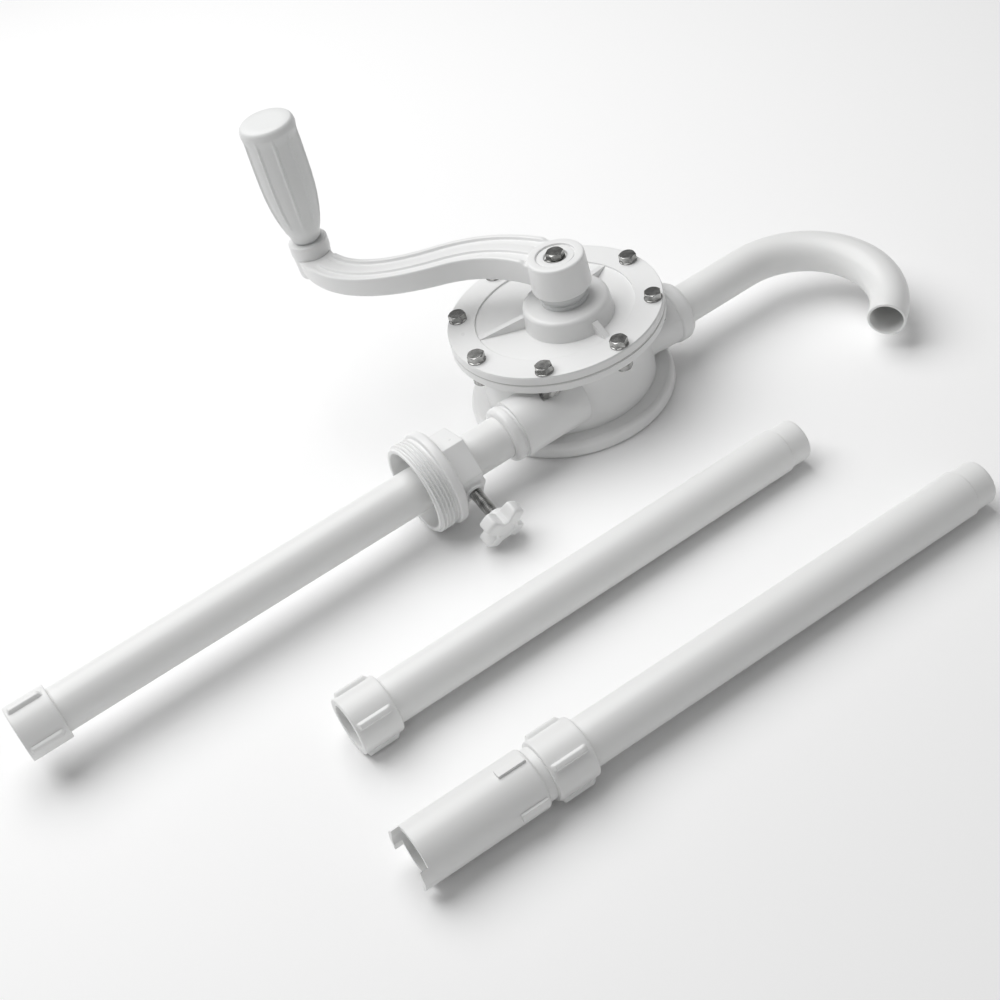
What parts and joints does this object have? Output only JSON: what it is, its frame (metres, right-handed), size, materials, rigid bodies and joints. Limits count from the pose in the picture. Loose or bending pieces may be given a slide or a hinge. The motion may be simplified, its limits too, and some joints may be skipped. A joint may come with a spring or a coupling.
{
  "type": "rotary hand transfer pump",
  "caption": "Crank-turned rotary vane pump for drums: round bolted body, curved spout, suction tube with sliding bung adapter, and loose extension tubes with a notched foot.",
  "frame": {"origin": "centre of the base flange's underside, on the axis of the body's bore", "axes": "+Z along the bore axis, from the base flange towards the crank; +X towards the delivery spout, -X towards the suction tube"},
  "size_m": [0.6083, 0.4215, 0.2059],
  "materials": {
    "body_plastic": "semi-gloss moulded white",
    "tube_plastic": "semi-gloss extruded white",
    "grip_plastic": "satin moulded white",
    "inner_plastic": "satin moulded off-white",
    "stainless": "bright machined stainless",
    "gasket_rubber": "matt off-white",
    "rubber": "matt black"
  },
  "bodies": {
    "pump": {"pump_body": "body_plastic", "cover": "body_plastic", "cover_gasket": "gasket_rubber", "cover_bolts": "stainless", "cover_nuts": "stainless", "shaft_bush": "inner_plastic", "shaft_seal": "rubber", "seal_collar": "inner_plastic", "suction_tube": "tube_plastic", "suction_coupling": "tube_plastic"},
    "spout": {"spout": "tube_plastic"},
    "crank": {"crank_arm": "body_plastic", "crank_washer": "stainless", "crank_screw": "stainless", "grip_spindle": "stainless", "drive_shaft": "stainless", "rotor": "inner_plastic", "vane_springs": "stainless"},
    "vane_a": {"vane_a": "inner_plastic"},
    "vane_b": {"vane_b": "inner_plastic"},
    "grip": {"grip": "grip_plastic", "grip_washer": "inner_plastic"},
    "bung": {"bung_adapter": "body_plastic"},
    "clamp": {"clamp_stud": "stainless", "clamp_knob": "body_plastic"},
    "mid_tube": {"mid_tube": "tube_plastic", "mid_coupling": "tube_plastic"},
    "lower_tube": {"lower_tube": "tube_plastic", "lower_coupling": "tube_plastic", "foot_cap": "tube_plastic", "foot": "tube_plastic"},
    "foot_ball": {"foot_ball": "inner_plastic"}
  },
  "joints": [
    {"name": "crank_turn", "type": "hinge", "parent": "pump", "child": "crank", "pos_m": [0.003, -0.012, 0.112], "axis": [0, 0, 1], "continuous": true},
    {"name": "grip_spin", "type": "hinge", "parent": "crank", "child": "grip", "pos_m": [-0.09541, 0.12907, 0.15], "axis": [0, 0, 1], "continuous": true},
    {"name": "vane_a_slide", "type": "slide", "parent": "crank", "child": "vane_a", "axis": [-0.9701, -0.2425, 0], "range_m": [-0.011, 0]},
    {"name": "vane_b_slide", "type": "slide", "parent": "crank", "child": "vane_b", "axis": [-0.9701, -0.2425, 0], "range_m": [0, 0.011]},
    {"name": "spout_swivel", "type": "hinge", "parent": "pump", "child": "spout", "pos_m": [0.0765, -0.0214, 0.033], "axis": [1, 0, 0], "range_deg": [-180, 0]},
    {"name": "bung_slide", "type": "slide", "parent": "pump", "child": "bung", "axis": [1, 0, 0], "range_m": [-0.255, 0.022]},
    {"name": "clamp_turn", "type": "hinge", "parent": "bung", "child": "clamp", "pos_m": [-0.113, -0.0386, 0.033], "axis": [0, -0.9367, -0.3502], "range_deg": [0, 1080]},
    {"name": "mid_tube_lift", "type": "slide", "parent": "pump", "child": "mid_tube", "axis": [0, 0, 1], "range_m": [0, 0.3]},
    {"name": "lower_tube_lift", "type": "slide", "parent": "pump", "child": "lower_tube", "axis": [0, 0, 1], "range_m": [0, 0.3]},
    {"name": "foot_ball_lift", "type": "slide", "parent": "lower_tube", "child": "foot_ball", "axis": [0.9997, -0.0175, -0.015], "range_m": [0, 0.006]}
  ]
}
